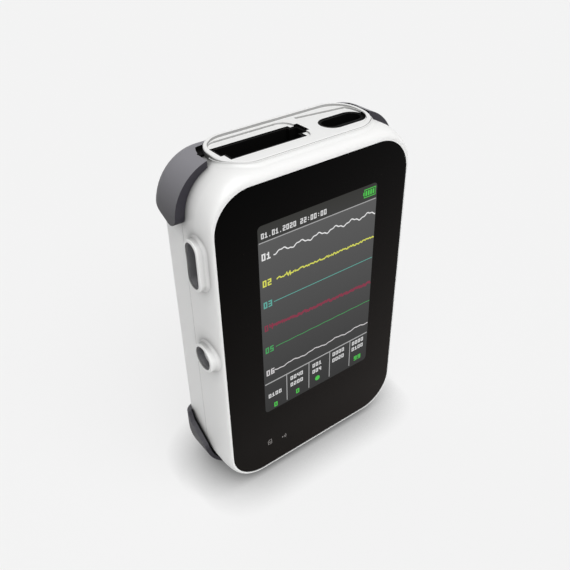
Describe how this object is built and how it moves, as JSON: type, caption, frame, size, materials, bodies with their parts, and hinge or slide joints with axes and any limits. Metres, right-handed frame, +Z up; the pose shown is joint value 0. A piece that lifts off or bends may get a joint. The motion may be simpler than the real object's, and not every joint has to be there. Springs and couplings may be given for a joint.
{
  "type": "sleep apnea monitor",
  "caption": "Hand-size sleep recorder: flat white case with a rounded front, tall display, lead sockets in a raised rim, guarded side button, cannula port and soft corner bumpers.",
  "frame": {"origin": "on the floor, below the middle of the case: the bottom centre of the bounding box, with the part standing on its two lower bumpers", "axes": "+X to the right as the display is read, +Y to the back, away from the display, +Z up"},
  "size_m": [0.0874, 0.03, 0.1292],
  "materials": {
    "white_abs": "white ABS, satin gloss",
    "black_lens": "black back-printed clear acrylic, polished",
    "display_glass": "display glass, dark grey",
    "black_tape": "black adhesive foam tape",
    "pressed_steel": "thin pressed metal over a plastic light guide, satin",
    "amber_film": "amber polyimide film",
    "black_nylon": "black glass-filled nylon",
    "gilt_brass": "gilt pins",
    "grey_key": "grey moulded plastic, fine satin",
    "grey_elastomer": "grey soft elastomer, matt",
    "black_silicone": "black silicone O-ring",
    "milky_silicone": "milky silicone tube",
    "green_board": "green solder mask over glass-fibre board",
    "black_epoxy": "black moulded epoxy",
    "silver_pouch": "silver laminate pouch of a lithium-polymer cell",
    "grey_foam": "grey foam adhesive pad",
    "zinc_steel": "zinc-plated steel"
  },
  "bodies": {
    "monitor": {"amplifier_chip": "black_epoxy", "battery": "silver_pouch", "battery_pad": "grey_foam", "board_screw_bottom_left": "zinc_steel", "board_screw_bottom_right": "zinc_steel", "board_screw_top_left": "zinc_steel", "board_screw_top_right": "zinc_steel", "bumper_bottom_left": "grey_elastomer", "bumper_bottom_right": "grey_elastomer", "bumper_top_left": "grey_elastomer", "bumper_top_right": "grey_elastomer", "button_gasket": "grey_elastomer", "cannula_gasket": "grey_elastomer", "cannula_port": "grey_key", "cannula_seal": "black_silicone", "case_screw_bottom_left": "zinc_steel", "case_screw_bottom_right": "zinc_steel", "case_screw_top_left": "zinc_steel", "case_screw_top_right": "zinc_steel", "effort_contacts": "gilt_brass", "effort_socket": "black_nylon", "front_lens": "black_lens", "front_shell": "white_abs", "lcd_frame": "pressed_steel", "lcd_panel": "display_glass", "lcd_ribbon": "amber_film", "lens_tape": "black_tape", "main_board": "green_board", "port_bezel": "white_abs", "power_switch": "black_epoxy", "pressure_sensor": "black_epoxy", "pressure_tube": "milky_silicone", "processor_chip": "black_epoxy", "radio_module": "pressed_steel", "rear_shell": "white_abs", "sensor_contacts": "gilt_brass", "sensor_socket": "black_nylon"},
    "button": {"power_button": "grey_key", "switch_plunger": "black_nylon"}
  },
  "joints": [
    {"name": "power_button_press", "type": "slide", "parent": "monitor", "child": "button", "axis": [1, 0, 0], "range_m": [0, 0.0008], "stiffness_N_per_m": 1500, "springref_m": -0.0005}
  ]
}
